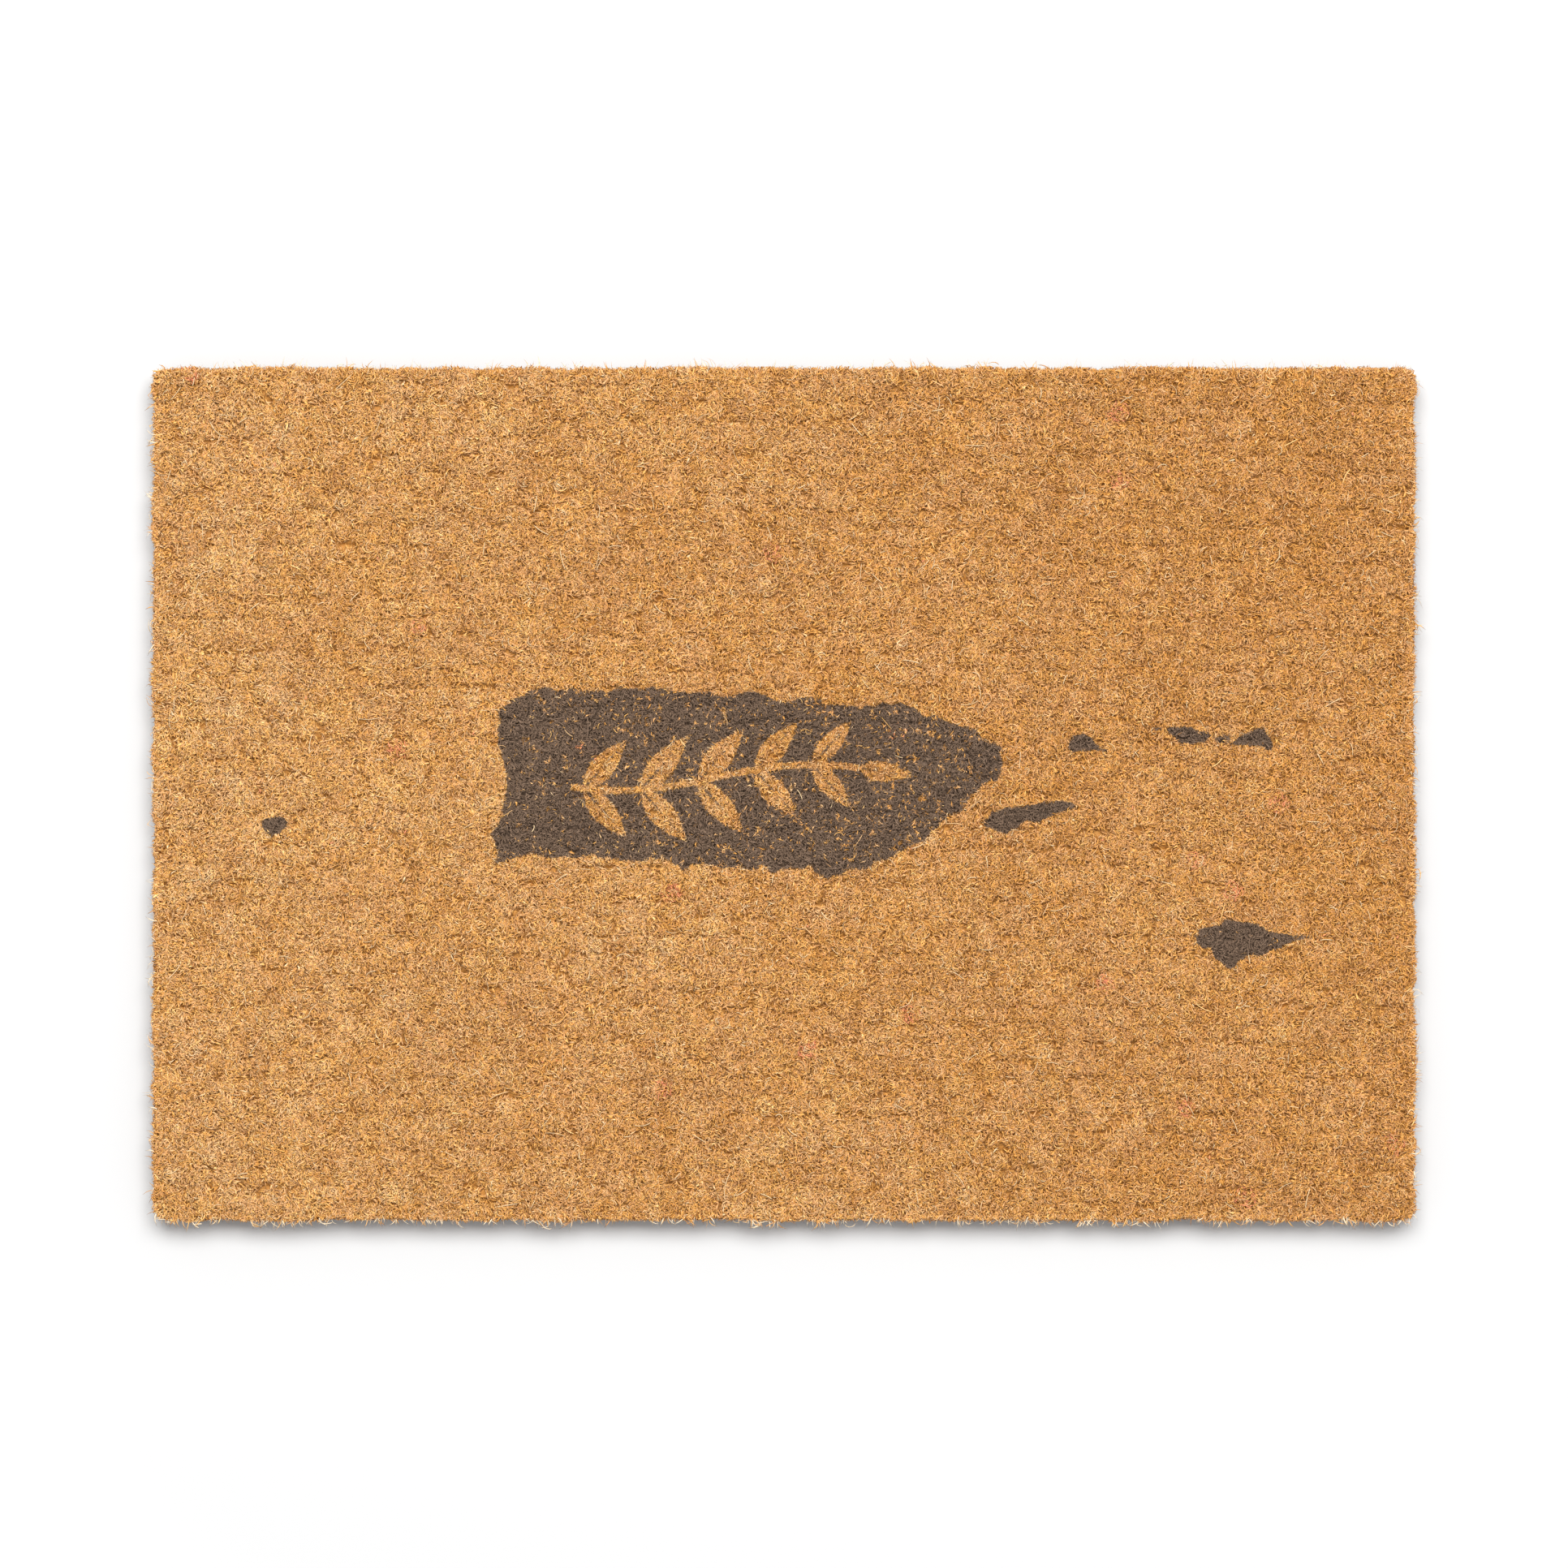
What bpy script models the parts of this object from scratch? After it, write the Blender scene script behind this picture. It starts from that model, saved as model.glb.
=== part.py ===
"""A natural coir door mat: a vinyl sheet that holds rows of cut coir tufts by their roots.

Metres, +Z up. The origin is on the floor under the middle of the mat. X runs along its long side and Y
across its rows of tufts. Each row is a plain bar of the tufts' outer shape, with a narrower root along its
underside that sits in a groove of the vinyl.
"""

import bmesh
import bpy
from math import sqrt
from mathutils import Matrix

# Overall sizes
MAT_LENGTH = 0.686  # along X
MAT_DEPTH = 0.464  # along Y
CORNER_RADIUS = 0.007
CORNER_SEGMENTS = 6

# Vinyl sheet
BACKING_THICKNESS = 0.003
ROOT_DEPTH = 0.0016  # how far a tuft's root goes down into the vinyl
GROOVE_WIDTH = 0.0042
EDGE_RIM = 0.005  # vinyl left between the ends of the grooves and the cut edge

# Pile
PILE_HEIGHT = 0.0127  # from the top of the vinyl's gap to the tips
ROW_PITCH = 0.0097  # wanted; the rows then share the depth equally
CLEARANCE = 0.0003  # between any two pieces that meet

# What follows from the sizes above
ROW_COUNT = round(MAT_DEPTH / ROW_PITCH)
ROW_STEP = MAT_DEPTH / ROW_COUNT
ROW_WIDTH = ROW_STEP - CLEARANCE
PILE_FOOT = BACKING_THICKNESS + CLEARANCE
PILE_TOP = PILE_FOOT + PILE_HEIGHT
GROOVE_FLOOR = BACKING_THICKNESS - ROOT_DEPTH

# A cutter runs this far past what it cuts, so that no two faces lie in one plane.
OVERRUN = 0.004

# Colour, roughness
VINYL_LOOK = ((0.022, 0.020, 0.018), 0.62)
COIR_LOOK = ((0.56, 0.29, 0.10), 0.95)


def clear_scene():
    for obj in list(bpy.data.objects):
        bpy.data.objects.remove(obj, do_unlink=True)


def new_collection(name):
    collection = bpy.data.collections.new(name)
    bpy.context.scene.collection.children.link(collection)
    return collection


def new_material(name, look):
    colour, roughness = look
    material = bpy.data.materials.new(name)
    material.use_nodes = True
    shader = material.node_tree.nodes["Principled BSDF"]
    shader.inputs["Base Color"].default_value = (*colour, 1.0)
    shader.inputs["Roughness"].default_value = roughness
    shader.inputs["Metallic"].default_value = 0.0
    material.diffuse_color = (*colour, 1.0)
    return material


def box_between(shape, low, high):
    """Adds a box from its lowest corner to its highest to a bmesh, and returns its vertices."""
    size = [top - bottom for bottom, top in zip(low, high)]
    middle = [(top + bottom) / 2 for bottom, top in zip(low, high)]
    place = Matrix.Translation(middle) @ Matrix.Diagonal((*size, 1.0))
    return bmesh.ops.create_cube(shape, size=1.0, matrix=place)["verts"]


def add_object(name, shape, collection, material=None):
    mesh = bpy.data.meshes.new(name)
    shape.to_mesh(mesh)
    shape.free()
    obj = bpy.data.objects.new(name, mesh)
    collection.objects.link(obj)
    if material:
        mesh.materials.append(material)
    else:
        obj.hide_render = True
        obj.display_type = "WIRE"
    return obj


def add_boolean(obj, operation, other):
    modifier = obj.modifiers.new(other.name, "BOOLEAN")
    modifier.operation = operation
    modifier.solver = "EXACT"
    modifier.object = other


def rounded_slab(bottom, top):
    """A bmesh of the mat's outline between two heights, with its four upright edges rounded."""
    half_length, half_depth = MAT_LENGTH / 2, MAT_DEPTH / 2
    shape = bmesh.new()
    box_between(shape, (-half_length, -half_depth, bottom), (half_length, half_depth, top))
    upright = [
        edge for edge in shape.edges if abs(edge.verts[0].co.z - edge.verts[1].co.z) > (top - bottom) / 2
    ]
    bmesh.ops.bevel(
        shape,
        geom=upright,
        offset=CORNER_RADIUS,
        offset_type="OFFSET",
        segments=CORNER_SEGMENTS,
        profile=0.5,
        affect="EDGES",
    )
    return shape


def half_chord(y, inset):
    """Half the length of the mat's outline at y, when the outline is drawn in by inset all round."""
    radius = max(CORNER_RADIUS - inset, 0.0)
    straight = MAT_DEPTH / 2 - inset - radius
    into_corner = min(max(abs(y) - straight, 0.0), radius)
    return MAT_LENGTH / 2 - inset - radius + sqrt(radius**2 - into_corner**2)


def row_middle(index):
    """The Y of a row's middle line. Rows are counted from the front edge, at -Y, from 0."""
    return (index + 0.5) * ROW_STEP - MAT_DEPTH / 2


def root_box(shape, index, slack, bottom, top):
    """Adds the box of one row's root, or of its groove when slack is the clearance round the root."""
    y = row_middle(index)
    half_width = GROOVE_WIDTH / 2 - CLEARANCE + slack
    half_length = half_chord(abs(y) + GROOVE_WIDTH / 2, EDGE_RIM) - CLEARANCE + slack
    return box_between(shape, (-half_length, y - half_width, bottom), (half_length, y + half_width, top))


def build_backing(collection, cutters, material):
    grooves = bmesh.new()
    for index in range(ROW_COUNT):
        root_box(grooves, index, CLEARANCE, GROOVE_FLOOR, BACKING_THICKNESS + OVERRUN)
    groove_cutter = add_object("groove_cutter", grooves, cutters)
    backing = add_object("vinyl_backing", rounded_slab(0.0, BACKING_THICKNESS), collection, material)
    add_boolean(backing, "DIFFERENCE", groove_cutter)


def build_row(index, outline, collection, cutters, material):
    """One row: a bar cut to the mat's outline, joined to its root."""
    number = f"{index + 1:02d}"
    y = row_middle(index)
    reach = MAT_LENGTH / 2 + OVERRUN

    bar = bmesh.new()
    box_between(bar, (-reach, y - ROW_WIDTH / 2, PILE_FOOT), (reach, y + ROW_WIDTH / 2, PILE_TOP))
    row = add_object(f"tuft_row_{number}", bar, collection, material)
    add_boolean(row, "INTERSECT", outline)

    root = bmesh.new()
    root_box(root, index, 0.0, GROOVE_FLOOR + CLEARANCE, PILE_FOOT + PILE_HEIGHT / 2)
    add_boolean(row, "UNION", add_object(f"root_{number}", root, cutters))


def build_mat():
    clear_scene()
    mat = new_collection("door_mat")
    cutters = new_collection("cutters")
    vinyl = new_material("black vinyl", VINYL_LOOK)
    coir = new_material("natural coir", COIR_LOOK)

    outline_shape = rounded_slab(PILE_FOOT - OVERRUN, PILE_TOP + OVERRUN)
    outline = add_object("pile_outline", outline_shape, cutters)
    build_backing(mat, cutters, vinyl)
    for index in range(ROW_COUNT):
        build_row(index, outline, mat, cutters, coir)


build_mat()
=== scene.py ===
"""The looks of a natural coir door mat: cut tufts of coconut fibre in a vinyl sheet, with a dark print.

Metres, in the CAD model's frame: X along the mat, Y across its rows of tufts, +Z up, floor at Z = 0.
Each row of tufts is one piece: a dense core of packed yarn with the free ends of the fibres on it, as thin
closed tubes. Two numbers on the mesh drive the one coir material: tone, a fibre's own hue and shade, with
some painted light across the mat, and stage, which runs from its root (0) to its tip (0.5) and on to a
printed tip (1); the material darkens low stages as painted shade. The UV map lays the same two numbers
out flat for baking.
"""

import bpy
import numpy as np
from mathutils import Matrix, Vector


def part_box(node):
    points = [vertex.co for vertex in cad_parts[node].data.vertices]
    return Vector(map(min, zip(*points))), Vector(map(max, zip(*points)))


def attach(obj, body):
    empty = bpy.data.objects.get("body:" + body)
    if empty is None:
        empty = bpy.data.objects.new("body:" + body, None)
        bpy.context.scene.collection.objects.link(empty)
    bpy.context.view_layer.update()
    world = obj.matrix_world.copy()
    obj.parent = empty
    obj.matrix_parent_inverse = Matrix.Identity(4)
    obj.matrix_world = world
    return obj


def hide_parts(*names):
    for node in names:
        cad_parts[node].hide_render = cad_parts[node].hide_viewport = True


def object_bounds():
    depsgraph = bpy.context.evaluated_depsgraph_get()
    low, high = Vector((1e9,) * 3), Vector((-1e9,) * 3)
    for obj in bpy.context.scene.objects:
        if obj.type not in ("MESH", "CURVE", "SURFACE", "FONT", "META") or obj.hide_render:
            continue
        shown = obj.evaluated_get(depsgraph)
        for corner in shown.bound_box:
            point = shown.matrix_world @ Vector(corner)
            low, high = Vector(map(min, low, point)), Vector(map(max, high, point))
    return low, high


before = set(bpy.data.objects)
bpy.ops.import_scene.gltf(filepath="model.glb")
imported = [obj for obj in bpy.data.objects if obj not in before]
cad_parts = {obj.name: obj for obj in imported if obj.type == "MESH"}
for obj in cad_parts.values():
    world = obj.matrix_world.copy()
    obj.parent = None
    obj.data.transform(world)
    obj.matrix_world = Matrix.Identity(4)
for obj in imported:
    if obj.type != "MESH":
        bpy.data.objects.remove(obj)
CAD_LOW, CAD_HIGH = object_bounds()

# ---------------------------------------------------------------------------------------------- sizes
MM = 0.001
HALF_LENGTH = CAD_HIGH.x
HALF_DEPTH = CAD_HIGH.y
CORNER_RADIUS = 8.5 * MM
BACKING_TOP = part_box("vinyl_backing")[1].z
PILE_TOP = CAD_HIGH.z
ROWS = sorted(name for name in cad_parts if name.startswith("tuft_row"))
ROW_STEP = 2 * HALF_DEPTH / len(ROWS)

TUFT_STEP = 9.5 * MM  # along a row
TUFT_RADIUS = 5.6 * MM
TUFT_JITTER = 1.4 * MM
FIBRES_IN_TUFT = 124
FIBRE_RADIUS = 0.26 * MM
CURLS_IN_TUFT = 3
BUNDLES = 138000  # of fibres lying together, under the free ends
BUNDLE_RADIUS = 0.43 * MM
EDGE_FIBRES = 10000  # that stand along the cut edge
FRINGE_FIBRES = 7000  # that lie out over it
LOOSE_FIBRES = 750  # long ones on the face of the pile
LOOSE_RADIUS = 0.21 * MM
PITH_CHIPS = 220
SIDES = 3  # of a fibre's tube
WANDER = 1.3 * MM  # of the cut edge
ROW_END_BULGE = 0.45 * MM  # of each row's end, past the seams between rows
GOLDEN_ANGLE = 2.39996  # spreads points evenly over a disc

SEED = 20
rng = np.random.default_rng(SEED)


# ------------------------------------------------------------------------------- smooth random fields
class Field:
    """Smooth noise over the mat, about -1 to 1, with bumps a given size across."""

    def __init__(self, size, octaves=1, cells=64):
        self.size = size
        self.layers = [rng.uniform(-1, 1, (cells, cells)) for _ in range(octaves)]

    def at(self, x, y):
        total, weight = 0.0, 0.0
        for octave, grid in enumerate(self.layers):
            scale = 2**octave / self.size
            total = total + self.sample(grid, x * scale, y * scale) / 2**octave
            weight += 1 / 2**octave
        return total / weight * 1.6

    @staticmethod
    def sample(grid, u, v):
        left, low = np.floor(u).astype(int), np.floor(v).astype(int)
        across, up = u - left, v - low
        across, up = across**2 * (3 - 2 * across), up**2 * (3 - 2 * up)
        size = len(grid)
        a, b = grid[left % size, low % size], grid[(left + 1) % size, low % size]
        c, d = grid[left % size, (low + 1) % size], grid[(left + 1) % size, (low + 1) % size]
        return (a * (1 - across) + b * across) * (1 - up) + (c * (1 - across) + d * across) * up


LEAN_X, LEAN_Y = Field(38 * MM, 2), Field(38 * MM, 2)
HEIGHT = Field(22 * MM, 2)
SHADE = Field(70 * MM, 3)
HUE = Field(16 * MM, 3)
EDGE_WANDER = Field(10 * MM, 3, cells=128)
PRINT_EDGE = Field(11 * MM, 4)
PRINT_SHAPE = Field(22 * MM, 2)
SPECKS = Field(1.2 * MM, 1, cells=256)
WEAR = Field(20 * MM, 2)
CORE_SEAM = Field(5 * MM, 1)
SWIRL_X, SWIRL_Y = Field(7 * MM, 1), Field(7 * MM, 1)


# ---------------------------------------------------------------------------------------- the outline
def half_chord(y, inset):
    """Half the length of the outline at y, when it is drawn in by inset all round."""
    radius = np.maximum(CORNER_RADIUS - inset, 0.5 * MM)
    into_corner = np.clip(np.abs(y) - (HALF_DEPTH - inset - radius), 0, radius)
    return HALF_LENGTH - inset - radius + np.sqrt(radius**2 - into_corner**2)


def outline_points(distance):
    """Points at these distances along the rounded outline, anticlockwise, and its outward direction."""
    straight_x = 2 * (HALF_LENGTH - CORNER_RADIUS)
    straight_y = 2 * (HALF_DEPTH - CORNER_RADIUS)
    arc = CORNER_RADIUS * np.pi / 2
    centre_x, centre_y = HALF_LENGTH - CORNER_RADIUS, HALF_DEPTH - CORNER_RADIUS
    place = np.zeros((len(distance), 2))
    out = np.zeros((len(distance), 2))
    sides = [
        (straight_x, (-centre_x, -HALF_DEPTH), (1, 0), (centre_x, -centre_y)),
        (straight_y, (HALF_LENGTH, -centre_y), (0, 1), (centre_x, centre_y)),
        (straight_x, (centre_x, HALF_DEPTH), (-1, 0), (-centre_x, centre_y)),
        (straight_y, (-HALF_LENGTH, centre_y), (0, -1), (-centre_x, -centre_y)),
    ]
    start = 0.0
    for length, begin, along, corner in sides:
        along = np.array(along, float)
        normal = np.array([along[1], -along[0]])
        on_side = (distance >= start) & (distance < start + length)
        run = (distance[on_side] - start)[:, None]
        place[on_side] = np.array(begin) + run * along
        out[on_side] = normal
        start += length
        on_arc = (distance >= start) & (distance < start + arc)
        turn = ((distance[on_arc] - start) / CORNER_RADIUS)[:, None]
        out[on_arc] = np.cos(turn) * normal + np.sin(turn) * along
        place[on_arc] = np.array(corner) + CORNER_RADIUS * out[on_arc]
        start += arc
    return place, out


OUTLINE_LENGTH = 4 * (HALF_LENGTH + HALF_DEPTH) - 8 * CORNER_RADIUS + 2 * np.pi * CORNER_RADIUS


# ------------------------------------------------------------------------------------------ the print
# The main patch: its ends, and heights of its upper and lower edges along it, in mm
PATCH_LEFT, PATCH_RIGHT = -157, 112
PATCH_TOP = [(-157, 48), (-130, 59), (-20, 55), (60, 48), (112, 30)]
PATCH_FOOT = [(-157, -35), (-60, -38), (30, -42), (75, -27), (112, 8)]

PATCH_ROUGHNESS = 4.2 * MM
BLOT_ROUGHNESS = 2.4 * MM
PRINT_SOFTNESS = 1.3 * MM  # from no print to full print
SPECK_LEVEL = 0.98  # of wear, above which the patch has bare specks

# Small blots: centre, half sizes, turn in degrees and how much they narrow towards their right end
BLOTS = [
    ((-276 * MM, -16 * MM), (7 * MM, 5 * MM), 0, 0.0),
    ((164 * MM, 26 * MM), (7 * MM, 3.5 * MM), -10, 0.3),
    ((220 * MM, 32 * MM), (14 * MM, 4 * MM), -12, -0.4),
    ((256 * MM, 30 * MM), (10 * MM, 5 * MM), 12, -0.5),
    ((140 * MM, -9.5 * MM), (25 * MM, 5 * MM), 10, 0.5),
    ((256 * MM, -80 * MM), (28 * MM, 9 * MM), 5, 0.8),
]

# A leaf sprig left unprinted in the patch: a stem with pairs of leaves
SPRIG_CENTRE = (-37 * MM, 9 * MM)
SPRIG_HALF = 92 * MM
LEAF_PAIRS = 5
LEAF_LENGTH = 40 * MM
LEAF_WIDTH = 14 * MM
LEAF_ANGLE = 0.85
STEM_HALF_WIDTH = 1.8 * MM
VEIN_HALF_WIDTH = 0.8 * MM


def stem_height(x):
    """The stem's rise along the sprig, from its foot at -SPRIG_HALF to its tip."""
    return 7 * MM * np.sin(np.pi * x / (1.15 * SPRIG_HALF))


def in_leaf(x, y, foot, angle, length):
    """How far inside a pointed leaf a point is, in metres; it is negative outside and on the vein."""
    along = (x - foot[0]) * np.cos(angle) + (y - foot[1]) * np.sin(angle)
    across = np.abs(-(x - foot[0]) * np.sin(angle) + (y - foot[1]) * np.cos(angle))
    t = np.clip(along / length, 0, 1)
    half_width = LEAF_WIDTH / 2 * np.sin(np.pi * t**0.8) * length / LEAF_LENGTH
    inside = np.minimum(half_width - across, np.minimum(along, length - along))
    on_vein = VEIN_HALF_WIDTH * (1 - t) - across
    return np.minimum(inside, -on_vein)


def in_sprig(x, y):
    x, y = x - SPRIG_CENTRE[0], y - SPRIG_CENTRE[1]
    inside = np.minimum(STEM_HALF_WIDTH - np.abs(y - stem_height(x)), SPRIG_HALF * 0.86 - np.abs(x))
    for pair in range(LEAF_PAIRS):
        share = pair / (LEAF_PAIRS - 1)
        foot_x = SPRIG_HALF * (-0.78 + 1.35 * share)
        foot = (foot_x, stem_height(foot_x))
        length = LEAF_LENGTH * (1.0 - 0.3 * abs(share - 0.35))
        for side in (-1, 1):
            inside = np.maximum(inside, in_leaf(x, y, foot, side * LEAF_ANGLE, length))
    tip = (SPRIG_HALF * 0.84, stem_height(SPRIG_HALF * 0.84))
    return np.maximum(inside, in_leaf(x, y, tip, -0.15, 0.75 * LEAF_LENGTH))


def edge_height(knots, x):
    places, heights = np.array(knots, float).T * MM
    return np.interp(x, places, heights)


def print_amount(x, y):
    """How much of the dark print a point of the pile's face takes, 0 to 1; it shows from a half up."""
    rough = PRINT_EDGE.at(x, y)
    upright = np.minimum(edge_height(PATCH_TOP, x) - y, y - edge_height(PATCH_FOOT, x))
    ends = np.minimum(x - PATCH_LEFT * MM, PATCH_RIGHT * MM - x) + 6 * MM * PRINT_SHAPE.at(x, y)
    inside = np.minimum(upright, ends) + PATCH_ROUGHNESS * rough
    inside = np.minimum(inside, -in_sprig(x, y) + 0.25 * MM * rough)
    worn = SPECKS.at(x, y) + 0.25 * WEAR.at(x, y)
    inside = np.minimum(inside, (SPECK_LEVEL - worn) * 2.5 * MM)
    for centre, half, degrees, narrowing in BLOTS:
        turn = np.radians(degrees)
        along = (x - centre[0]) * np.cos(turn) + (y - centre[1]) * np.sin(turn)
        across = -(x - centre[0]) * np.sin(turn) + (y - centre[1]) * np.cos(turn)
        half_width = half[1] * np.clip(1 - narrowing * along / half[0], 0.15, 2)
        blot = (1 - np.hypot(along / half[0], across / half_width)) * half[1]
        inside = np.maximum(inside, blot + BLOT_ROUGHNESS * rough)
    return np.clip(inside / PRINT_SOFTNESS + 0.5, 0, 1)


# ---------------------------------------------------------------------------------------- mesh making
class Strands:
    """Collects the closed bodies of one row of tufts, with each point's tone, stage and map nudge."""

    def __init__(self):
        self.points, self.tones, self.stages, self.nudges = [], [], [], []
        self.corners, self.sizes = [], []
        self.count = 0

    def add(self, points, tones, stages, nudges, faces):
        """A nudge moves a point on the bake map, so that no face is a line there.

        Faces are arrays of point indices, each array with one number of corners.
        """
        self.points.append(points)
        self.tones.append(tones)
        self.stages.append(stages)
        self.nudges.append(nudges)
        for corners in faces:
            self.corners.append((corners + self.count).reshape(-1))
            self.sizes.append(np.full(len(corners), corners.shape[1], np.int32))
        self.count += len(points)


def tube_faces(fibres, rings):
    """Corner indices of many alike tubes, each a root point, its rings of points and a tip point."""
    points = rings * SIDES + 2
    first = (np.arange(fibres) * points)[:, None, None]
    side = np.arange(SIDES)
    after = (side + 1) % SIDES
    root_fan = np.stack([np.zeros(SIDES, int), after + 1, side + 1], 1)
    last = 1 + (rings - 1) * SIDES
    tip_fan = np.stack([np.full(SIDES, points - 1), side + last, after + last], 1)
    triangles = np.concatenate([root_fan, tip_fan])
    faces = [(first + triangles[None]).reshape(-1, 3)]
    if rings > 1:
        start = 1 + np.arange(rings - 1)[:, None] * SIDES
        quads = np.stack([start + side, start + after, start + SIDES + after, start + SIDES + side], -1)
        faces.append((first + quads.reshape(1, -1, 4)).reshape(-1, 4))
    return faces


def tube_nudges(fibres, rings):
    """Sides of a tube lie apart on the map, and so does each ring from the next."""
    side = np.arange(SIDES)
    nudges = [[[1.0, 0.0]]]
    for ring in range(rings):
        nudges.append(np.stack([side, 0.8 * (side % 2) + 2.0 * ((ring + 1) % 2)], 1))
    nudges.append([[1.0, 2.0 * ((rings + 1) % 2)]])
    return np.tile(np.concatenate(nudges), (fibres, 1))


def unit(vectors):
    return vectors / np.maximum(np.linalg.norm(vectors, axis=-1, keepdims=True), 1e-12)


def tubes(paths, radii):
    """Points of tubes along the paths, an array (fibres, path points, 3). The ends have no radius."""
    tangent = unit(np.gradient(paths, axis=1))
    fibres, steps, _ = paths.shape
    side = unit(np.cross(tangent[:, 0], rng.normal(size=(fibres, 3))))
    turns = 2 * np.pi * np.arange(SIDES) / SIDES
    points = [paths[:, :1]]
    for step in range(1, steps - 1):
        along = tangent[:, step]
        side = unit(side - along * (side * along).sum(1, keepdims=True))
        other = np.cross(along, side)
        reach = [np.cos(turn) * side + np.sin(turn) * other for turn in turns]
        ring = paths[:, step, None] + radii[:, step - 1, None, None] * np.stack(reach, 1)
        points.append(ring)
    points.append(paths[:, -1:])
    return np.concatenate(points, 1)


PRINT_DEPTH = 4.5 * MM  # how far down the fibres the print soaks
UNPRINTED_SHARE = 0.015  # of the fibre ends in the print have come up bare since
STRIPE_PERIOD = 1 / 60  # of tone, from one fibre to the next where they lie side by side

# The bake map: tone runs across it and stage up it.
MAP_MARGIN = 0.01
MAP_SPAN = 0.92
MAP_NUDGE = 3 / 1024


def stage_of(points):
    """From 0 at the root to 0.5 at the tip, and on to 1 where the print lies."""
    x, y, z = points[..., 0], points[..., 1], points[..., 2]
    rise = np.clip((z - BACKING_TOP) / (PILE_TOP - BACKING_TOP), 0, 1)
    amount = print_amount(x, y) * (z > PILE_TOP - PRINT_DEPTH)
    return np.where(amount > 0, 0.5 + 0.5 * amount, 0.5 * rise)


def add_tubes(rows, paths, radii, tones, unprinted=None, stripe=0.0):
    """Shares fibres out to the rows that their roots stand in. Stripe is the tone's change per side."""
    points = tubes(paths, radii)
    rings = paths.shape[1] - 2
    around = np.concatenate([[1], np.tile(np.arange(SIDES), rings), [1]])
    tones = tones[:, None] + stripe * around[None]
    stages = stage_of(paths)
    if unprinted is not None:
        stages[unprinted] = np.minimum(stages[unprinted], 0.5)
    stages = np.repeat(stages, [1] + [SIDES] * rings + [1], axis=1)
    owner = np.clip(((paths[:, 0, 1] + HALF_DEPTH) / ROW_STEP).astype(int), 0, len(ROWS) - 1)
    for row in np.unique(owner):
        mine = owner == row
        fibres = int(mine.sum())
        rows[row].add(
            points[mine].reshape(-1, 3),
            tones[mine].reshape(-1),
            stages[mine].reshape(-1),
            tube_nudges(fibres, rings),
            tube_faces(fibres, rings),
        )


def bow(p0, p1, p2, steps):
    """Points along a curve from p0 to p2 that is drawn towards p1."""
    t = np.asarray(steps)[None, :, None]
    p0, p1, p2 = (p[:, None] for p in (p0, p1, p2))
    return (1 - t) ** 2 * p0 + 2 * (1 - t) * t * p1 + t**2 * p2


def bezier(p0, p1, p2, p3, steps):
    t = np.asarray(steps)[None, :, None]
    p0, p1, p2, p3 = (p[:, None] for p in (p0, p1, p2, p3))
    return (1 - t) ** 3 * p0 + 3 * (1 - t) ** 2 * t * p1 + 3 * (1 - t) * t**2 * p2 + t**3 * p3


def make_mesh(name, strands):
    """A mesh from what a Strands holds, with its two point values and its bake map."""
    points = np.concatenate(strands.points).astype(np.float32)
    corners = np.concatenate(strands.corners).astype(np.int32)
    sizes = np.concatenate(strands.sizes)
    tones = np.concatenate(strands.tones).astype(np.float32)
    stages = np.concatenate(strands.stages).astype(np.float32)
    nudges = np.concatenate(strands.nudges)

    mesh = bpy.data.meshes.new(name)
    mesh.vertices.add(len(points))
    mesh.vertices.foreach_set("co", points.reshape(-1))
    mesh.loops.add(len(corners))
    mesh.loops.foreach_set("vertex_index", corners)
    mesh.polygons.add(len(sizes))
    starts = np.concatenate([[0], np.cumsum(sizes)[:-1]]).astype(np.int32)
    mesh.polygons.foreach_set("loop_start", starts)
    mesh.polygons.foreach_set("use_smooth", np.ones(len(sizes), bool))
    mesh.update(calc_edges=True)
    mesh.validate()

    for label, values in (("tone", tones), ("stage", stages)):
        layer = mesh.attributes.new(label, "FLOAT", "POINT")
        layer.data.foreach_set("value", values)
    places = np.stack([tones, stages], 1) * MAP_SPAN + MAP_MARGIN + nudges * MAP_NUDGE
    layer = mesh.uv_layers.new(name="OFBake")
    layer.uv.foreach_set("vector", places[corners].astype(np.float32).reshape(-1))
    return mesh


# ------------------------------------------------------------------------------------------- the pile
def tuft_centres():
    """Where the tufts stand. Every other row is moved half a step along."""
    found = []
    for row in range(len(ROWS)):
        y = (row + 0.5) * ROW_STEP - HALF_DEPTH
        count = int(2 * HALF_LENGTH / TUFT_STEP) + 1
        x = (np.arange(count) - (count - 1) / 2 + 0.5 * (row % 2) - 0.25) * TUFT_STEP
        found.append(np.stack([x, np.full(count, y)], 1))
    centres = np.concatenate(found)
    return centres + rng.normal(0, 1, centres.shape) * TUFT_JITTER


HUE_SPAN = 0.42  # of tone: orange fibres have tones of 0 to this, and tan ones from there on
REED_TONE = 0.88  # a pale, straw-like fibre
STRAY_HIGHLIGHT_TONE = 0.93  # a whitish one, a painted highlight on the long strays over the cut edge
RED_TONE = 0.98  # a reddish one


def tone_values(x, y, base, spread):
    """Tones for fibres here: a shade near base, from 0, dark, to 1, pale, in one of the two hues."""
    shade = np.clip(base + spread * rng.normal(size=len(x)), 0.02, 0.98)
    tan = rng.uniform(size=len(x)) < 0.5 + 0.22 * HUE.at(x, y)
    return (shade + tan) * HUE_SPAN


def edge_wander(place, out):
    """How far the cut edge strays outwards: at random, and where a row of tufts ends."""
    row_end = -np.cos(2 * np.pi * (place[:, 1] + HALF_DEPTH) / ROW_STEP) * np.abs(out[:, 0])
    return WANDER * EDGE_WANDER.at(place[:, 0], place[:, 1]) + ROW_END_BULGE * row_end


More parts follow.
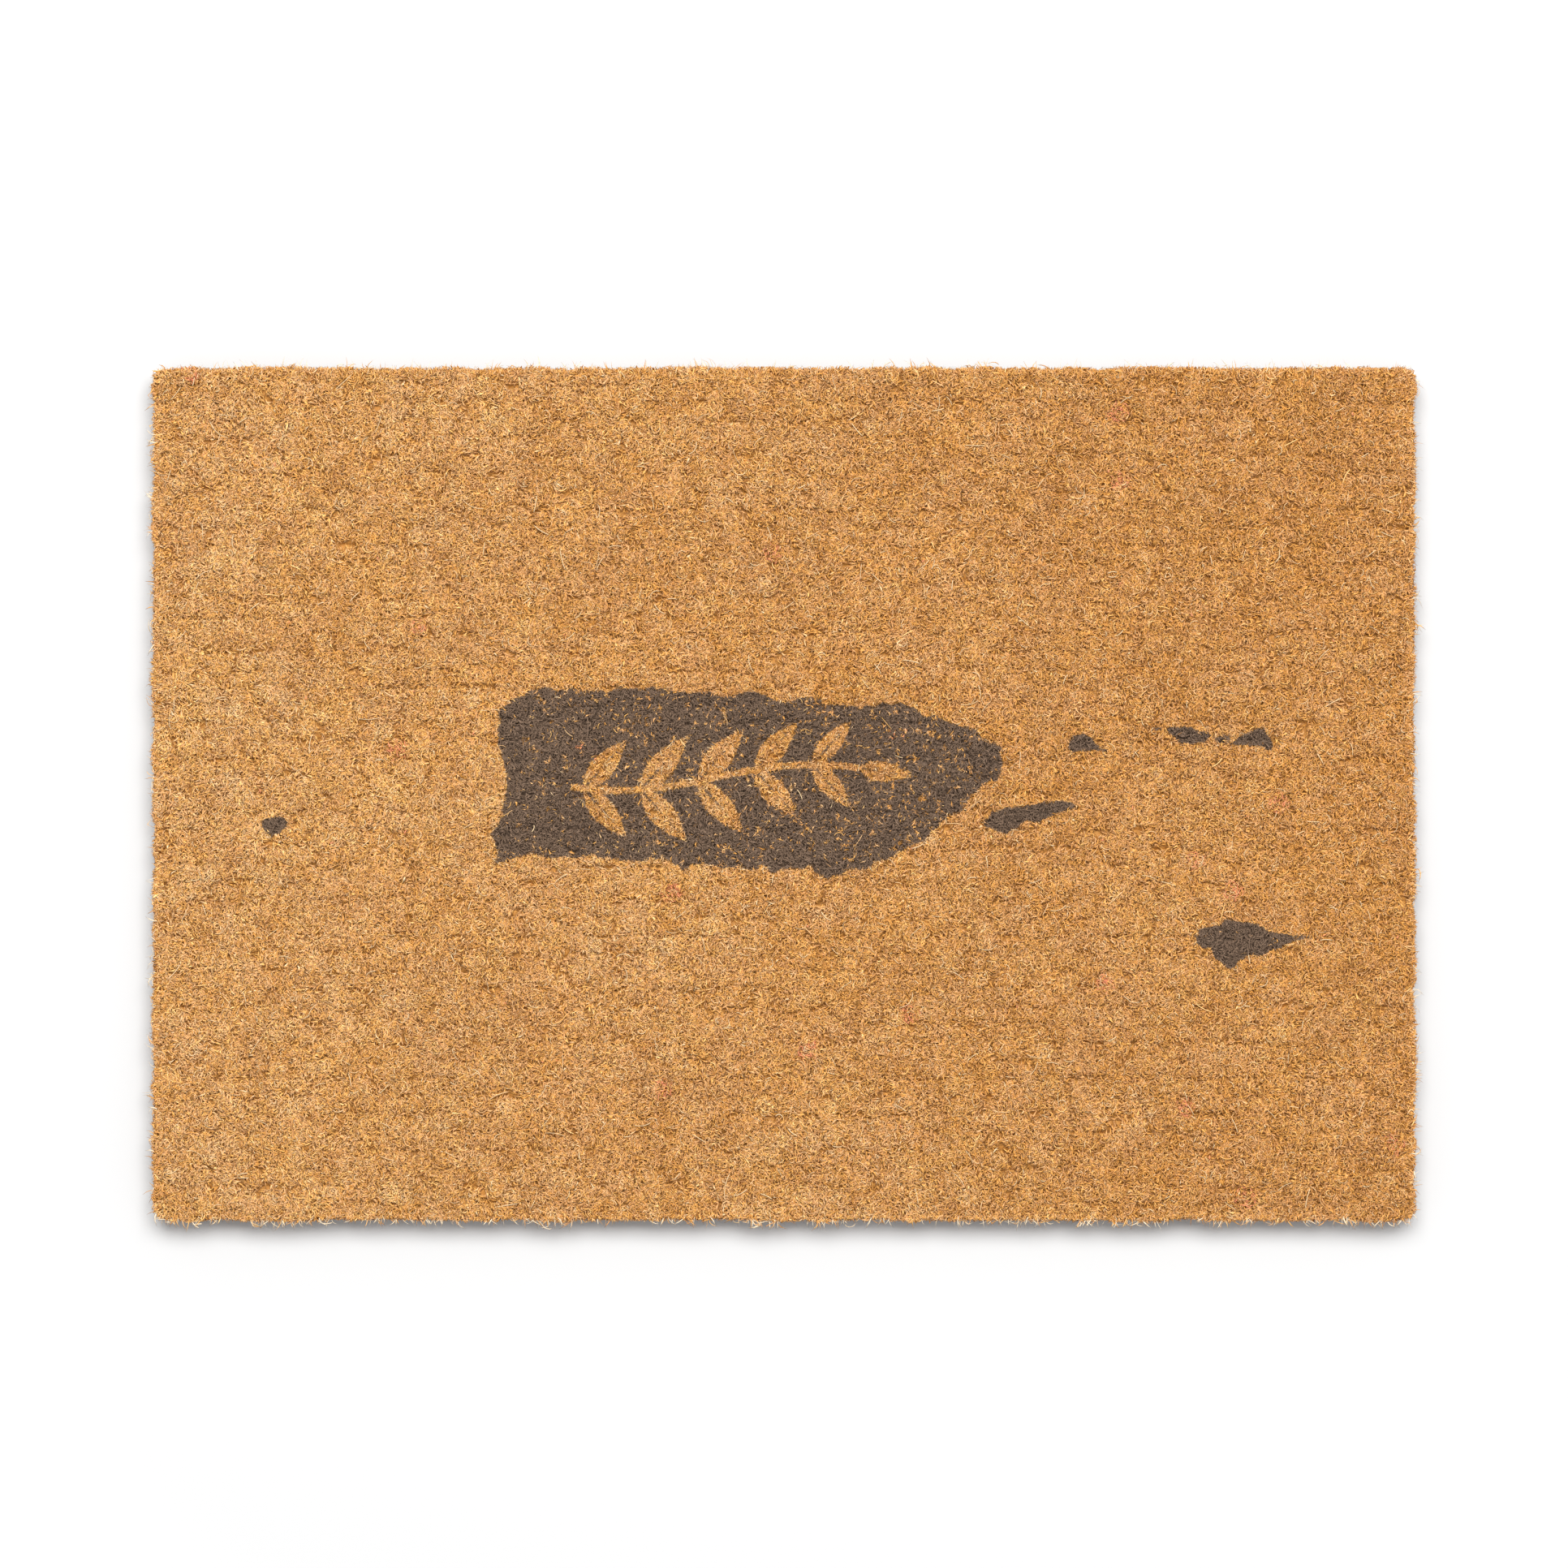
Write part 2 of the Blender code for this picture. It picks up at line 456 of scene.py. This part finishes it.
def shade_with_painted_light_at(x, y):
    """The mean shade of the coir, with painted light: a little paler towards its left end and its front,
    which stands in for light falling off from left to right and evens out the lamp's fall-off towards the
    front.
    """
    return 0.61 + 0.062 * SHADE.at(x, y) - 0.14 * x / HALF_LENGTH - 0.045 * y / HALF_DEPTH


def on_mat(foot, inset):
    """Which of these points lie inside the outline drawn in by inset."""
    inside = np.abs(foot[:, 1]) < HALF_DEPTH - inset
    return inside & (np.abs(foot[:, 0]) < half_chord(foot[:, 1], inset))


def lying_paths(foot, heading, length, curl, top, depth, droop, steps):
    """Fibres that come up out of the pile at their root end and lie over along a heading."""
    along = np.stack([np.cos(heading), np.sin(heading)], 1)
    beside = np.stack([-along[:, 1], along[:, 0]], 1)
    start = foot - along * 0.45 * length[:, None]
    middle = foot + beside * (curl * length)[:, None] - along * 0.15 * length[:, None]
    end = foot + along * 0.55 * length[:, None]
    p0 = np.column_stack([start, top - depth])
    p1 = np.column_stack([middle, top + 0.5 * depth])
    p2 = np.column_stack([end, top - droop])
    return bow(p0, p1, p2, steps)


def fibre_bundles(rows):
    """Fibres that lie close together between and under the free ends, evenly over the mat."""
    foot = rng.uniform(-1, 1, (BUNDLES, 2)) * (HALF_LENGTH, HALF_DEPTH)
    foot = foot[on_mat(foot, 1.8 * MM)]
    count = len(foot)
    x, y = foot[:, 0], foot[:, 1]
    heading = np.arctan2(SWIRL_Y.at(x, y), SWIRL_X.at(x, y)) + rng.normal(0, 0.7, count)
    length = rng.uniform(4.0, 7.5, count) * MM
    top = PILE_TOP - rng.uniform(0.9, 1.7, count) * MM
    depth = rng.uniform(0.4, 1.0, count) * MM
    droop = rng.normal(0.3, 0.3, count) * MM
    curl = rng.normal(0, 0.25, count)
    paths = lying_paths(foot, heading, length, curl, top, depth, droop, (0.0, 0.5, 1.0))
    radii = BUNDLE_RADIUS * rng.gamma(12.0, 1 / 12.0, (count, 1))
    # painted shade: the bundles take a tone a little darker than the free ends above them
    tones = tone_values(x, y, shade_with_painted_light_at(x, y) - 0.09, 0.14)
    add_tubes(rows, paths, radii, tones, stripe=1.5 * STRIPE_PERIOD)


def pile_fibres(rows, centres):
    """The free ends of the fibres in each tuft, which rise out of it and bend over in all directions."""
    tufts = len(centres)
    x, y = centres[:, 0], centres[:, 1]
    lean = np.stack([LEAN_X.at(x, y), LEAN_Y.at(x, y)], 1) * 0.6 * MM
    lean += rng.normal(0, 0.4 * MM, (tufts, 2))
    tuft_top = PILE_TOP - 0.3 * MM + 0.28 * MM * HEIGHT.at(x, y) + rng.normal(0, 0.2 * MM, tufts)
    tuft_shade = shade_with_painted_light_at(x, y) + rng.normal(0, 0.075, tufts)
    tuft_radius = TUFT_RADIUS * rng.uniform(0.92, 1.12, tufts)
    tuft_phase = rng.uniform(0, 2 * np.pi, tufts)
    tuft_swirl = rng.uniform(0.4, 1.6, tufts)  # how loosely the fibres follow the yarn's twist

    owner = np.repeat(np.arange(tufts), FIBRES_IN_TUFT)
    count = len(owner)
    place = np.tile(np.arange(FIBRES_IN_TUFT), tufts)
    share = np.sqrt((place + rng.uniform(0, 1, count)) / FIBRES_IN_TUFT)  # from the middle to the rim
    around = place * GOLDEN_ANGLE + tuft_phase[owner] + rng.normal(0, 0.2, count)
    out = np.stack([np.cos(around), np.sin(around)], 1)
    foot = centres[owner] + lean[owner] + out * (share * tuft_radius[owner])[:, None]
    keep = on_mat(foot, 0.6 * MM - WANDER * EDGE_WANDER.at(foot[:, 0], foot[:, 1]))
    foot, share, around, owner = foot[keep], share[keep], around[keep], owner[keep]
    count = len(foot)

    heading = around + np.pi / 2 + rng.normal(0, 1, count) * tuft_swirl[owner]
    length = (2.2 + rng.gamma(3.0, 0.75, count)) * MM
    sink = rng.gamma(1.5, 0.25, count) * MM
    top = tuft_top[owner] - 0.5 * MM * share**3 - sink
    depth = rng.uniform(0.6, 1.4, count) * MM
    droop = rng.normal(0.1, 0.3, count) * MM
    curl = rng.normal(0.12, 0.28, count)
    paths = lying_paths(foot, heading, length, curl, top, depth, droop, (0.0, 0.5, 1.0))
    radii = FIBRE_RADIUS * rng.gamma(9.0, 1 / 9.0, (count, 1))

    tones = tone_values(foot[:, 0], foot[:, 1], tuft_shade[owner], 0.15)
    tones[rng.uniform(size=count) < 0.012] = REED_TONE
    red_tuft = rng.uniform(size=tufts) < 0.008
    tones[red_tuft[owner] & (rng.uniform(size=count) < 0.4)] = RED_TONE
    add_tubes(rows, paths, radii, tones, rng.uniform(size=count) < UNPRINTED_SHARE)


def curled_fibres(rows, centres):
    """Thin pale fibres that have sprung into arcs round the middle of their tuft."""
    middle = np.repeat(centres, CURLS_IN_TUFT, axis=0)
    middle = middle[on_mat(middle, 2 * MM)]
    count = len(middle)
    middle = middle + rng.normal(0, 0.9 * MM, (count, 2))
    steps = np.linspace(0, 1, 7)
    radius = rng.uniform(0.9, 3.6, count) * MM
    span = rng.uniform(2.5, 7.5, count) * MM / radius * rng.choice([-1, 1], count)
    turn = rng.uniform(0, 2 * np.pi, count)[:, None] + span[:, None] * steps
    reach = radius[:, None] * (1 + 0.35 * steps)
    x = middle[:, :1] + reach * np.cos(turn)
    y = middle[:, 1:] + reach * np.sin(turn)
    lift = PILE_TOP + rng.uniform(-0.45, 0.2, count) * MM
    arch = rng.uniform(0.5, 1.4, count) * MM
    z = lift[:, None] - arch[:, None] * (2 * steps - 1) ** 4
    radii = rng.uniform(0.12, 0.2, (count, 1)) * MM * np.ones((1, 5))
    tones = tone_values(middle[:, 0], middle[:, 1], 0.85, 0.1)
    tones[rng.uniform(size=count) < 0.1] = REED_TONE
    add_tubes(rows, np.stack([x, y, z], 2), radii, tones, rng.uniform(size=count) < 2 * UNPRINTED_SHARE)


def edge_fibres(rows):
    """The fibres of the cut edge, which stand from the vinyl up to the top of the pile or near it."""
    count = EDGE_FIBRES
    distance = rng.uniform(0, OUTLINE_LENGTH, count)
    place, out = outline_points(distance)
    along = np.stack([-out[:, 1], out[:, 0]], 1)
    wander = edge_wander(place, out)
    inset = rng.uniform(0.3, 2.2, count) * MM
    foot = place - out * inset[:, None]
    splay = wander + rng.normal(0.1, 0.5, count) * MM + 0.35 * inset
    sway = rng.normal(0, 1.1 * MM, count)
    shift = out * splay[:, None] + along * sway[:, None]
    top = PILE_TOP - rng.gamma(1.5, 0.9, count) * MM
    top = np.where(rng.uniform(size=count) < 0.25, rng.uniform(6 * MM, PILE_TOP, count), top)
    bend = rng.normal(0, 0.5 * MM, (count, 2))

    foot_z = BACKING_TOP + 0.35 * MM
    rise = top - foot_z
    p0 = np.column_stack([foot, np.full(count, foot_z)])
    p1 = np.column_stack([foot + 0.1 * shift + bend, foot_z + 0.4 * rise])
    p2 = np.column_stack([foot + 0.4 * shift - bend, foot_z + 0.8 * rise])
    p3 = np.column_stack([foot + shift, top])
    paths = bezier(p0, p1, p2, p3, (0.0, 0.1, 0.4, 0.75, 1.0))
    width = FIBRE_RADIUS * rng.gamma(9.0, 1 / 9.0, count)
    radii = width[:, None] * np.array([1.0, 1.0, 0.9])[None]
    add_tubes(rows, paths, radii, tone_values(foot[:, 0], foot[:, 1], 0.6, 0.2))


def fringe_fibres(rows):
    """Ends at the top of the cut edge that lie out over it, a few of them long and pale, over half of
    those whitish with a painted highlight.
    """
    count = FRINGE_FIBRES
    distance = rng.uniform(0, OUTLINE_LENGTH, count)
    place, out = outline_points(distance)
    wander = edge_wander(place, out)
    bunching = np.clip(1 + 1.3 * SWIRL_X.at(place[:, 0], place[:, 1]), 0, 2)
    stray = rng.uniform(size=count) < np.where(out[:, 1] < -0.5, 0.16, 0.08) * bunching
    length = (1.4 + rng.gamma(3.0, 0.7, count)) * MM
    length = np.where(stray, rng.uniform(4.0, 9.0, count) * MM, length)
    inset = np.where(stray, -0.05, 0.5) * length - wander + rng.normal(0.2, 0.35, count) * MM
    foot = place - out * inset[:, None]
    heading = np.arctan2(out[:, 1], out[:, 0]) + rng.normal(0, 0.75, count)
    top = PILE_TOP - rng.gamma(1.6, 0.6, count) * MM
    depth = rng.uniform(0.9, 2.0, count) * MM
    droop = rng.normal(0.5, 0.5, count) * MM
    curl = np.where(stray, rng.normal(0, 0.3, count), rng.normal(0, 0.2, count))
    paths = lying_paths(foot, heading, length, curl, top, depth, droop, (0.0, 0.2, 0.45, 0.7, 1.0))
    width = FIBRE_RADIUS * rng.gamma(9.0, 1 / 9.0, count) * np.where(stray, 0.95, 1.0)
    radii = width[:, None] * np.array([1.0, 0.95, 0.8])[None]
    tones = tone_values(foot[:, 0], foot[:, 1], 0.62, 0.2)
    # painted highlight: over half of the long strays take the whitish tone
    tones[stray & (rng.uniform(size=count) < 0.6)] = STRAY_HIGHLIGHT_TONE
    add_tubes(rows, paths, radii, tones)


def loose_fibres(rows):
    """Long pale fibres that have worked loose and lie in shallow arcs on the face of the pile."""
    count = LOOSE_FIBRES
    knots = 8
    steps = np.linspace(0, 1, knots)
    x = rng.uniform(-HALF_LENGTH + 8 * MM, HALF_LENGTH - 8 * MM, count)
    y = rng.uniform(-HALF_DEPTH + 8 * MM, HALF_DEPTH - 8 * MM, count)
    heading = rng.uniform(0, 2 * np.pi, count)
    length = (4 + rng.gamma(3.0, 1.4, count)) * MM
    curl = rng.normal(0, 0.45, count)
    turn = heading[:, None] + curl[:, None] * (steps[None] - 0.5) * 2
    step = length[:, None] / (knots - 1)
    run_x = np.cumsum(np.cos(turn) * step, 1)
    run_y = np.cumsum(np.sin(turn) * step, 1)
    run_x -= run_x.mean(1, keepdims=True)
    run_y -= run_y.mean(1, keepdims=True)
    lift = PILE_TOP + rng.uniform(-0.3, 0.3, count)[:, None] * MM
    arch = 1.8 * MM * (2 * steps - 1) ** 4
    z = lift - arch[None] * rng.uniform(0.4, 1.2, count)[:, None]
    paths = np.stack([x[:, None] + run_x, y[:, None] + run_y, z], 2)
    width = LOOSE_RADIUS * rng.uniform(0.7, 1.25, count)
    radii = np.repeat(width[:, None], knots - 2, 1)
    reed = rng.uniform(size=count) < 0.5
    tones = np.where(reed, REED_TONE, tone_values(x, y, 0.9, 0.08))
    add_tubes(rows, paths, radii, tones, rng.uniform(size=count) < 0.15)


def pith_chips(rows):
    """Small pale chips of husk caught in the pile."""
    count = PITH_CHIPS
    foot = rng.uniform(-1, 1, (count, 2)) * (HALF_LENGTH - 6 * MM, HALF_DEPTH - 6 * MM)
    heading = rng.uniform(0, 2 * np.pi, count)
    length = rng.uniform(1.4, 3.2, count) * MM
    top = PILE_TOP - rng.uniform(0.2, 0.8, count) * MM
    curl = np.zeros(count)
    paths = lying_paths(foot, heading, length, curl, top, 0.3 * MM, 0.2 * MM, (0.0, 0.3, 0.7, 1.0))
    radii = rng.uniform(0.25, 0.5, (count, 1)) * MM * np.array([[1.0, 0.9]])
    reed = rng.uniform(size=count) < 0.35
    tones = np.where(reed, REED_TONE, tone_values(foot[:, 0], foot[:, 1], 0.85, 0.1))
    tones = np.where(rng.uniform(size=count) < 0.2, RED_TONE, tones)
    add_tubes(rows, paths, radii, tones, rng.uniform(size=count) < 0.3)


# ------------------------------------------------------------------------------------ the core of each row
CORE_TOP = PILE_TOP - 2.9 * MM
CORE_INSET = 1.5 * MM
CORE_STEP = 2.6 * MM
CORE_LANES = 4  # faces across a row
CORE_TONE = 0.18


def core_wander(x, y):
    """How far the seams between rows stray from straight lines; they don't at the mat's edge."""
    from_edge = np.clip((HALF_DEPTH - CORE_INSET - np.abs(y)) / (4 * MM), 0, 1)
    return 1.3 * MM * CORE_SEAM.at(x, y) * from_edge


def core_of(rows):
    """Under the free ends each row is a closed bar of packed yarn, whose top rises at each tuft."""
    for row, strands in enumerate(rows):
        low = max(row * ROW_STEP - HALF_DEPTH, -HALF_DEPTH + CORE_INSET)
        high = min((row + 1) * ROW_STEP - HALF_DEPTH, HALF_DEPTH - CORE_INSET)
        across = np.linspace(low, high, CORE_LANES + 1)
        columns = int(2 * HALF_LENGTH / CORE_STEP)
        share = np.linspace(-1, 1, columns + 1)
        x = share[:, None] * half_chord(across, CORE_INSET)[None]
        y = across[None] + core_wander(x, across[None])
        phase = (x / TUFT_STEP - 0.5 * (row % 2)) * 2 * np.pi
        middle = (row + 0.5) * ROW_STEP - HALF_DEPTH
        bump = 0.5 * np.cos(phase) + 0.5 * np.cos((y - middle) / ROW_STEP * 2 * np.pi)
        top = CORE_TOP + 0.25 * MM * bump + rng.normal(0, 0.3 * MM, x.shape)
        upper = np.stack([x, y, top], 2).reshape(-1, 3)
        lower = np.stack([x, y, np.full(x.shape, BACKING_TOP + 0.3 * MM)], 2).reshape(-1, 3)
        points = np.concatenate([upper, lower])

        lanes = CORE_LANES + 1
        index = np.arange(len(upper)).reshape(columns + 1, lanes)
        a, b = index[:-1, :-1].reshape(-1), index[1:, :-1].reshape(-1)
        c, d = index[1:, 1:].reshape(-1), index[:-1, 1:].reshape(-1)
        under = len(upper)
        top_faces = np.stack([a, b, c, d], 1)
        bottom_faces = np.stack([d, c, b, a], 1) + under
        rim = np.concatenate([index[:, 0], index[-1, 1:], index[-2::-1, -1], index[0, -2:0:-1]])
        after = np.roll(rim, -1)
        wall = np.stack([rim + under, after + under, after, rim], 1)
        faces = np.concatenate([top_faces, bottom_faces, wall])
        tones = CORE_TONE + 4 * STRIPE_PERIOD * rng.uniform(-1, 1, len(points))
        stages = stage_of(points)
        stages[stages <= 0.5] *= 0.7  # painted shade: the bare yarn of the core is darkened, for the shade so deep in the pile
        nudges = rng.uniform(0, 6, (len(points), 2))
        strands.add(points, tones, stages, nudges, [faces])


# ----------------------------------------------------------------------------------------- materials
def new_material(name):
    material = bpy.data.materials.new(name)
    material.use_nodes = True
    tree = material.node_tree
    return material, tree, tree.nodes["Principled BSDF"]


def srgb(red, green, blue):
    """A linear colour from sRGB values of 0 to 255."""
    values = np.array([red, green, blue]) / 255
    return tuple(np.where(values <= 0.04045, values / 12.92, ((values + 0.055) / 1.055) ** 2.4))


def opaque(colour):
    """A colour with its alpha, from a grey level or a linear colour."""
    return (colour, colour, colour, 1.0) if isinstance(colour, float) else (*colour, 1.0)


def ramp_node(tree, source, stops):
    """A colour ramp. A stop is its place and either a grey level, a linear colour or one from srgb()."""
    node = tree.nodes.new("ShaderNodeValToRGB")
    elements = node.color_ramp.elements
    elements[0].position, elements[0].color = stops[0][0], opaque(stops[0][1])
    elements[1].position, elements[1].color = stops[-1][0], opaque(stops[-1][1])
    for position, colour in stops[1:-1]:
        elements.new(position).color = opaque(colour)
    tree.links.new(source, node.inputs[0])
    return node.outputs[0]


def mix_node(tree, factor, first, second, blend="MIX"):
    node = tree.nodes.new("ShaderNodeMix")
    node.data_type = "RGBA"
    node.blend_type = blend
    for socket, value in ((node.inputs[0], factor), (node.inputs[6], first), (node.inputs[7], second)):
        if isinstance(value, bpy.types.NodeSocket):
            tree.links.new(value, socket)
        else:
            socket.default_value = value
    return node.outputs[2]


def attribute_node(tree, name):
    node = tree.nodes.new("ShaderNodeAttribute")
    node.attribute_name = name
    return node.outputs["Fac"]


# Fibre colours from dark to pale, at SHADE_STOPS of each hue
ORANGE_SHADES = [(192, 130, 54), (211, 149, 70), (226, 167, 89), (240, 190, 114), (248, 207, 139)]
TAN_SHADES = [(189, 131, 69), (208, 150, 89), (222, 168, 110), (236, 191, 136), (244, 207, 157)]
SHADE_STOPS = (0.01, 0.3, 0.6, 0.9, 0.99)
REED = srgb(252, 227, 184)
# whitish: a painted highlight on the strays over the cut edge
STRAY_HIGHLIGHT = srgb(255, 240, 212)
INK_DARK, INK_PALE = srgb(106, 85, 69), srgb(122, 99, 80)


def fibre_stops():
    """The ramp of tone for bare fibres: the orange hue, the tan hue, and then the rarer fibres, among them
    a whitish painted highlight for strays.
    """
    stops = []
    for hue, colours in enumerate((ORANGE_SHADES, TAN_SHADES)):
        for shade, colour in zip(SHADE_STOPS, colours):
            stops.append(((hue + shade) * HUE_SPAN, srgb(*colour)))
    stops += [(REED_TONE - 0.02, REED), (REED_TONE + 0.02, REED)]
    stops += [(STRAY_HIGHLIGHT_TONE - 0.02, STRAY_HIGHLIGHT), (STRAY_HIGHLIGHT_TONE + 0.02, STRAY_HIGHLIGHT)]
    stops += [(RED_TONE - 0.02, srgb(232, 152, 108)), (RED_TONE + 0.02, srgb(222, 138, 98))]
    return stops


def coir_material():
    """Tone picks the fibre's hue and shade; stage lays painted shade on its root end, deep in the pile,
    and lays the print over its tip.
    """
    material, tree, shader = new_material("natural coir")
    tone = attribute_node(tree, "tone")
    stage = attribute_node(tree, "stage")

    fibre = ramp_node(tree, tone, fibre_stops())
    # painted shade: the lower a point lies in the pile, the darker its colour, for the shade between the
    # fibres
    depth = ramp_node(tree, stage, [(0.0, (0.5, 0.44, 0.36)), (0.38, (0.86, 0.81, 0.74)), (0.46, 1.0)])
    bare_with_painted_shade = mix_node(tree, 1.0, fibre, depth, "MULTIPLY")
    stripes = tree.nodes.new("ShaderNodeTexNoise")
    stripes.noise_dimensions = "1D"
    stripes.inputs["Scale"].default_value = 1 / STRIPE_PERIOD
    stripes.inputs["Detail"].default_value = 1.0
    tree.links.new(tone, stripes.inputs["W"])
    shade = ramp_node(tree, stripes.outputs["Fac"], [(0.36, (0.73, 0.68, 0.62)), (0.56, 1.0)])
    striped = mix_node(tree, 1.0, bare_with_painted_shade, shade, "MULTIPLY")

    ink_stops = [(0.01, INK_DARK), (0.41, INK_PALE), (0.43, INK_DARK), (0.83, INK_PALE)]
    ink_stops += [(0.88, srgb(132, 108, 88)), (1.0, srgb(120, 94, 76))]
    ink = ramp_node(tree, tone, ink_stops)
    printed = ramp_node(tree, stage, [(0.71, 0.0), (0.79, 1.0)])
    tree.links.new(mix_node(tree, printed, striped, ink), shader.inputs["Base Color"])
    shader.inputs["Roughness"].default_value = 0.72
    shader.inputs["Specular IOR Level"].default_value = 0.3
    return material


VINYL_DARK, VINYL_PALE = (0.018, 0.016, 0.014), (0.034, 0.031, 0.028)


def vinyl_material():
    material, tree, shader = new_material("black vinyl")
    coordinates = tree.nodes.new("ShaderNodeTexCoord")
    grain = tree.nodes.new("ShaderNodeTexNoise")
    grain.inputs["Scale"].default_value = 900.0
    grain.inputs["Detail"].default_value = 4.0
    tree.links.new(coordinates.outputs["Object"], grain.inputs["Vector"])
    colour = ramp_node(tree, grain.outputs["Fac"], [(0.3, VINYL_DARK), (0.7, VINYL_PALE)])
    tree.links.new(colour, shader.inputs["Base Color"])
    gloss = ramp_node(tree, grain.outputs["Fac"], [(0.3, 0.5), (0.7, 0.7)])
    tree.links.new(gloss, shader.inputs["Roughness"])
    bump = tree.nodes.new("ShaderNodeBump")
    bump.inputs["Strength"].default_value = 0.35
    bump.inputs["Distance"].default_value = 0.2 * MM
    tree.links.new(grain.outputs["Fac"], bump.inputs["Height"])
    tree.links.new(bump.outputs[0], shader.inputs["Normal"])
    return material


# ------------------------------------------------------------------------------------- the mat itself
def build_pile():
    rows = [Strands() for _ in ROWS]
    core_of(rows)
    fibre_bundles(rows)
    centres = tuft_centres()
    pile_fibres(rows, centres)
    curled_fibres(rows, centres)
    edge_fibres(rows)
    fringe_fibres(rows)
    loose_fibres(rows)
    pith_chips(rows)
    coir = coir_material()
    made = []
    for name, strands in zip(ROWS, rows):
        mesh = make_mesh("coir_" + name, strands)
        mesh.materials.append(coir)
        piece = bpy.data.objects.new("coir_" + name, mesh)
        bpy.context.scene.collection.objects.link(piece)
        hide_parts(name)
        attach(piece, "root")
        made.append(piece)
    return made


RIM_STEPS = 720  # round the vinyl's outline
RIM_PROFILE = [(0.5, 0.0), (0.12, 0.25), (0.0, 0.8), (0.0, 2.4), (0.3, 3.0)]  # inset and height, in mm
RIM_WANDER = 0.35 * MM
RIM_INSET = 0.4 * MM  # so that the wandering edge stays under the pile


def build_backing():
    """The vinyl sheet, with its cut edge a little uneven."""
    steps = RIM_STEPS
    place, out = outline_points(np.arange(steps) / steps * OUTLINE_LENGTH)
    wander = RIM_WANDER * EDGE_WANDER.at(place[:, 0], place[:, 1])
    rims = []
    for inset, z in RIM_PROFILE:
        xy = place + out * (wander - RIM_INSET - inset * MM)[:, None]
        rims.append(np.column_stack([xy, np.full(steps, z * MM)]))
    points = np.concatenate(rims)
    last = len(RIM_PROFILE) - 1
    faces = [list(range(steps))[::-1], list(range(last * steps, (last + 1) * steps))]
    for start in range(0, last * steps, steps):
        for i in range(steps):
            after = (i + 1) % steps
            faces.append([start + i, start + after, start + steps + after, start + steps + i])
    mesh = bpy.data.meshes.new("vinyl_sheet")
    mesh.from_pydata(points.tolist(), [], faces)
    mesh.materials.append(vinyl_material())
    sheet = bpy.data.objects.new("vinyl_sheet", mesh)
    bpy.context.scene.collection.objects.link(sheet)
    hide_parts("vinyl_backing")
    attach(sheet, "root")


# -------------------------------------------------------------------------------- floor, light, camera
FLOOR_RADIUS = 5.0  # the lamp lights it white all over; past it the sky is as white
FLOOR_SHADES = [(0.5, 0.575), (3.0, 0.98)]  # distance from the middle, and how pale it is there
SKY_SHADES = [(0.12, 1.0), (0.5, 0.62)]  # height of the direction, and how bright it is there
LAMP_PLACE = (0.3, 2.75, 5.35)
LAMP_SIZE = (6.0, 3.4)
LAMP_WATTS = 575


def floor_material():
    """White all over in the picture: paler where the lamp's light falls off."""
    material, tree, shader = new_material("white floor")
    coordinates = tree.nodes.new("ShaderNodeTexCoord")
    distance = tree.nodes.new("ShaderNodeVectorMath")
    distance.operation = "LENGTH"
    tree.links.new(coordinates.outputs["Object"], distance.inputs[0])
    reach = tree.nodes.new("ShaderNodeMapRange")
    (near, near_shade), (far, far_shade) = FLOOR_SHADES
    reach.inputs["From Min"].default_value = near
    reach.inputs["From Max"].default_value = far
    tree.links.new(distance.outputs["Value"], reach.inputs["Value"])
    shade = ramp_node(tree, reach.outputs["Result"], [(0.0, near_shade), (1.0, far_shade)])
    tree.links.new(shade, shader.inputs["Base Color"])
    shader.inputs["Roughness"].default_value = 0.9
    shader.inputs["Specular IOR Level"].default_value = 0.1
    return material


def build_stage():
    bpy.ops.mesh.primitive_circle_add(vertices=128, radius=FLOOR_RADIUS, fill_type="NGON")
    floor = bpy.context.object
    floor.name = "floor"
    floor.data.materials.append(floor_material())
    floor.location.z = -0.2 * MM

    world = bpy.data.worlds.new("studio")
    bpy.context.scene.world = world
    world.use_nodes = True
    tree = world.node_tree
    coordinates = tree.nodes.new("ShaderNodeTexCoord")
    direction = tree.nodes.new("ShaderNodeSeparateXYZ")
    tree.links.new(coordinates.outputs["Generated"], direction.inputs[0])
    sky = ramp_node(tree, direction.outputs["Z"], SKY_SHADES)
    tree.links.new(sky, tree.nodes["Background"].inputs["Color"])

    light = bpy.data.lights.new("window", "AREA")
    light.shape = "RECTANGLE"
    light.size, light.size_y = LAMP_SIZE
    light.energy = LAMP_WATTS
    lamp = bpy.data.objects.new("window", light)
    lamp.location = LAMP_PLACE
    lamp.rotation_euler = (Vector((0, 0, 0)) - lamp.location).to_track_quat("-Z", "Y").to_euler()
    bpy.context.scene.collection.objects.link(lamp)


VIEW_WIDTH = 0.8512  # of the floor that the picture takes in
CAMERA_HEIGHT = 3.0
CAMERA_SHIFT_Y = 5.5 * MM
SENSOR_WIDTH = 36.0


def build_camera():
    data = bpy.data.cameras.new("camera")
    data.sensor_width = SENSOR_WIDTH
    data.lens = SENSOR_WIDTH * (CAMERA_HEIGHT - PILE_TOP) / VIEW_WIDTH
    data.clip_end = 50
    camera = bpy.data.objects.new("camera", data)
    camera.location = (0.0, CAMERA_SHIFT_Y, CAMERA_HEIGHT)
    bpy.context.scene.collection.objects.link(camera)
    bpy.context.scene.camera = camera
    bpy.context.scene.view_settings.view_transform = "Standard"
    bpy.context.scene.cycles.denoising_prefilter = "NONE"  # keeps the fibres crisp


build_camera()
build_stage()
pile = build_pile()
build_backing()
